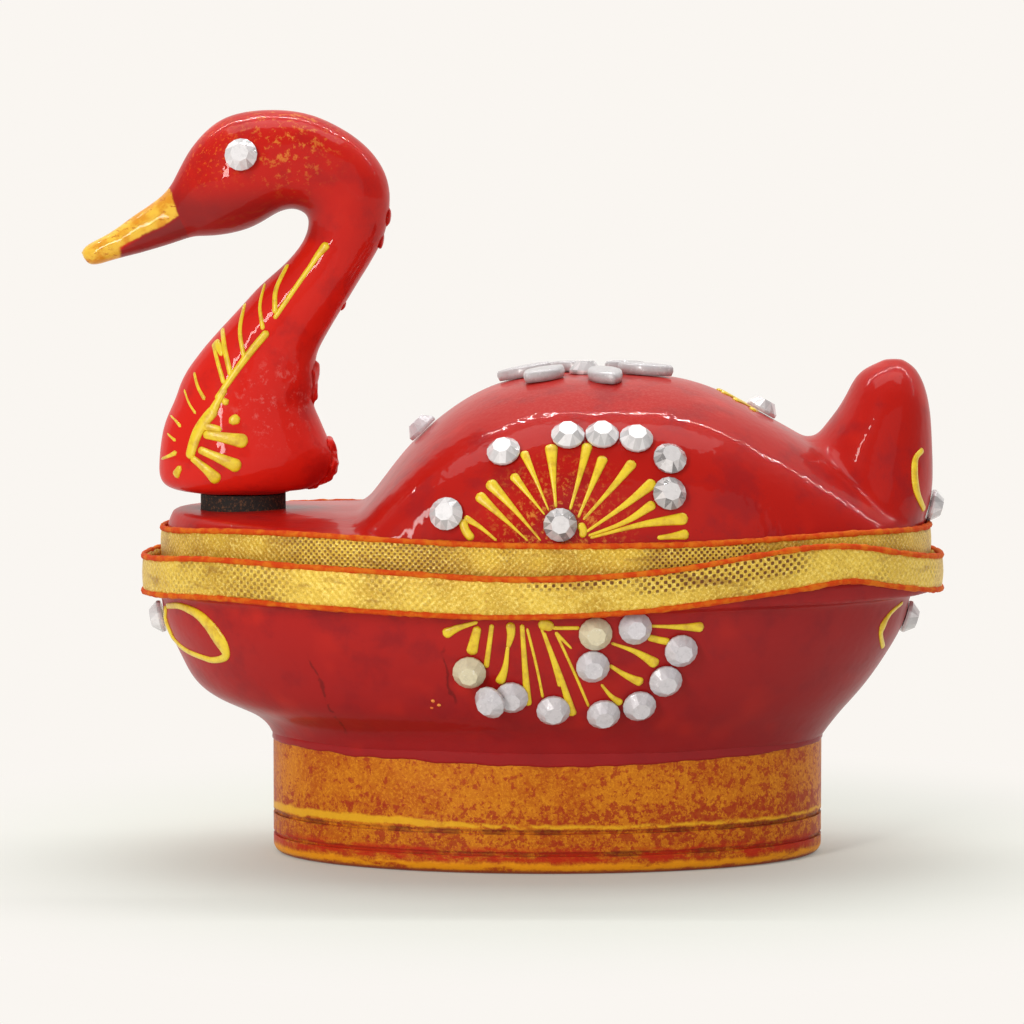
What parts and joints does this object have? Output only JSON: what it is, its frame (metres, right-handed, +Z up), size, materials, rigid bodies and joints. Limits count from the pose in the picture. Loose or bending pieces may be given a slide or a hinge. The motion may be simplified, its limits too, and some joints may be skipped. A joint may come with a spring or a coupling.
{
  "type": "kumkum box",
  "caption": "Swan-shaped red lacquered kumkum box: a footed boat-shaped bowl, a lift-off lid with back and tail, a swivelling neck and head, gold lace trim and flat-back stones.",
  "frame": {"origin": "middle of the foot's flat underside, on the surface that the box stands on", "axes": "+Z up, the beak points to -X and the tail to +X, +Y to the far side"},
  "size_m": [0.1034, 0.057, 0.089],
  "materials": {
    "red_lacquer": "glossy red enamel over carved wood",
    "gold_paint": "gold paint, worn, over wood",
    "gold_lace": "woven gold lace",
    "washer": "matte speckled",
    "screw": "zinc plated",
    "stone": "silver-backed, facetted"
  },
  "bodies": {
    "base": {"foot": "gold_paint", "bowl": "red_lacquer", "bowl_ribbon": "gold_lace", "bowl_stones_near": "stone", "bowl_stones_far": "stone", "breast_stone": "stone", "stern_stone": "stone"},
    "lid": {"lid": "red_lacquer", "lid_ribbon": "gold_lace", "neck_washer": "washer", "lid_stones_near": "stone", "lid_stones_far": "stone", "tail_stone": "stone", "back_front_stone": "stone", "back_rear_stone": "stone", "crown_stone": "stone", "crown_ring_stones": "stone"},
    "neck": {"neck_and_head": "red_lacquer", "neck_screw": "screw", "eye_stones": "stone"}
  },
  "joints": [
    {"name": "lid_lift", "type": "slide", "parent": "base", "child": "lid", "axis": [0, 0, 1], "range_m": [0, 0.06]},
    {"name": "neck_swivel", "type": "hinge", "parent": "lid", "child": "neck", "pos_m": [-0.0365, 0, 0.0413], "axis": [0, 0, 1], "continuous": true}
  ]
}
